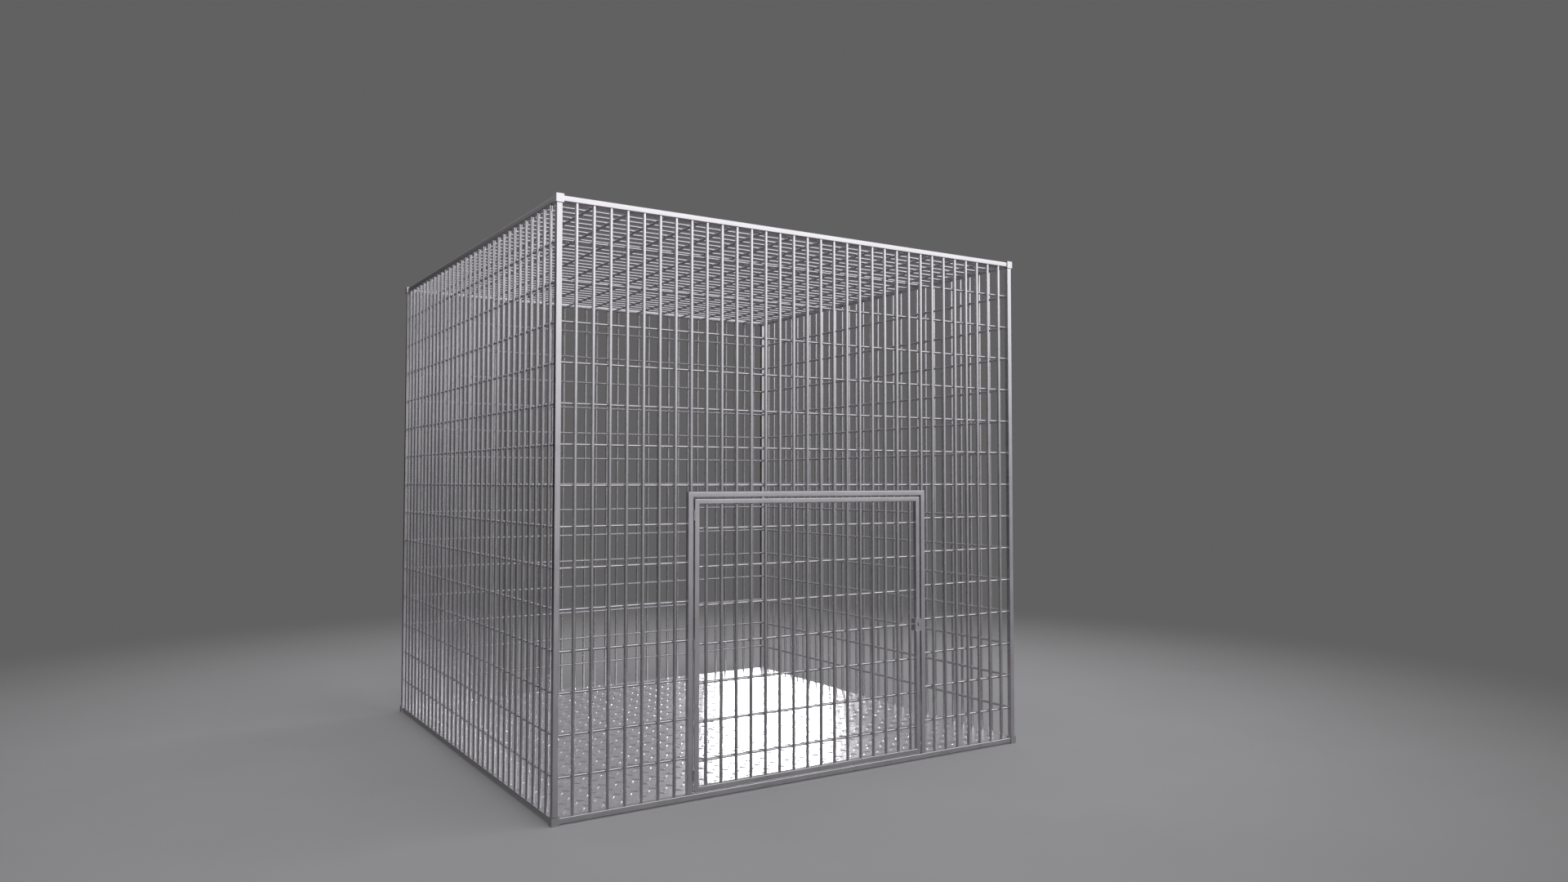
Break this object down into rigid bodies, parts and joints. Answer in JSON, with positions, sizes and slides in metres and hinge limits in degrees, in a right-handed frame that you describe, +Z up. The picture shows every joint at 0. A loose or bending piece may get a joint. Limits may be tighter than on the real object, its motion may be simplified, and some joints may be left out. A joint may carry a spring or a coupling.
{
  "type": "kennel cage",
  "caption": "Cube kennel cage of square steel tube and round bar grilles with a bar roof, a tread plate floor and a hinged front door with a key lock.",
  "frame": {"origin": "on the ground, at the middle of the footprint", "axes": "+Z up, front wall with the door towards -Y, +X to the right seen from the front"},
  "size_m": [2, 2, 2],
  "materials": {
    "tube": "satin",
    "connectors": "satin",
    "bars": "satin",
    "tread_plate": "bright rolled",
    "hinges": "satin",
    "lock": "satin"
  },
  "bodies": {
    "cage": {"bolt_keep": "tube", "bottom_rail_back": "tube", "bottom_rail_front": "tube", "bottom_rail_left": "tube", "bottom_rail_right": "tube", "corner_back_left_bottom": "connectors", "corner_back_left_top": "connectors", "corner_back_right_bottom": "connectors", "corner_back_right_top": "connectors", "corner_front_left_bottom": "connectors", "corner_front_left_top": "connectors", "corner_front_right_bottom": "connectors", "corner_front_right_top": "connectors", "door_header": "tube", "floor_bearer_1": "tube", "floor_bearer_2": "tube", "floor_bearer_3": "tube", "floor_plate": "tread_plate", "grille_back": "bars", "grille_front_left": "bars", "grille_front_over_door": "bars", "grille_front_right": "bars", "grille_left": "bars", "grille_right": "bars", "grille_roof": "bars", "hinge_lower_jamb_knuckle": "hinges", "hinge_lower_pin": "hinges", "hinge_middle_jamb_knuckle": "hinges", "hinge_middle_pin": "hinges", "hinge_upper_jamb_knuckle": "hinges", "hinge_upper_pin": "hinges", "jamb_hinge_side": "tube", "jamb_lock_side_lower": "tube", "jamb_lock_side_upper": "tube", "post_back_left": "tube", "post_back_right": "tube", "post_front_left": "tube", "post_front_right": "tube", "top_rail_back": "tube", "top_rail_front": "tube", "top_rail_left": "tube", "top_rail_right": "tube"},
    "door": {"hinge_lower_leaf_knuckle": "hinges", "hinge_middle_leaf_knuckle": "hinges", "hinge_upper_leaf_knuckle": "hinges", "leaf_grille": "bars", "leaf_rail_bottom": "tube", "leaf_rail_top": "tube", "leaf_stile_hinge_side": "tube", "leaf_stile_lock_side_lower": "tube", "leaf_stile_lock_side_upper": "tube", "lock_case": "lock", "lock_cover": "lock"},
    "bolt": {"lock_bolt": "lock"},
    "plug": {"key_plug": "lock"}
  },
  "joints": [
    {"name": "door_hinge", "type": "hinge", "parent": "cage", "child": "door", "pos_m": [-0.4975, -0.9954, 0.5235], "axis": [0, 0, -1], "range_deg": [0, 170]},
    {"name": "key_turn", "type": "hinge", "parent": "door", "child": "plug", "pos_m": [0.483, -0.996, 0.5235], "axis": [0, 1, 0], "range_deg": [0, 120]},
    {"name": "bolt_throw", "type": "slide", "parent": "door", "child": "bolt", "axis": [1, 0, 0], "range_m": [0, 0.012]}
  ],
  "couplings": [
    {"joint": "key_turn", "follows": "bolt_throw", "rad_per_m": 174.53}
  ]
}
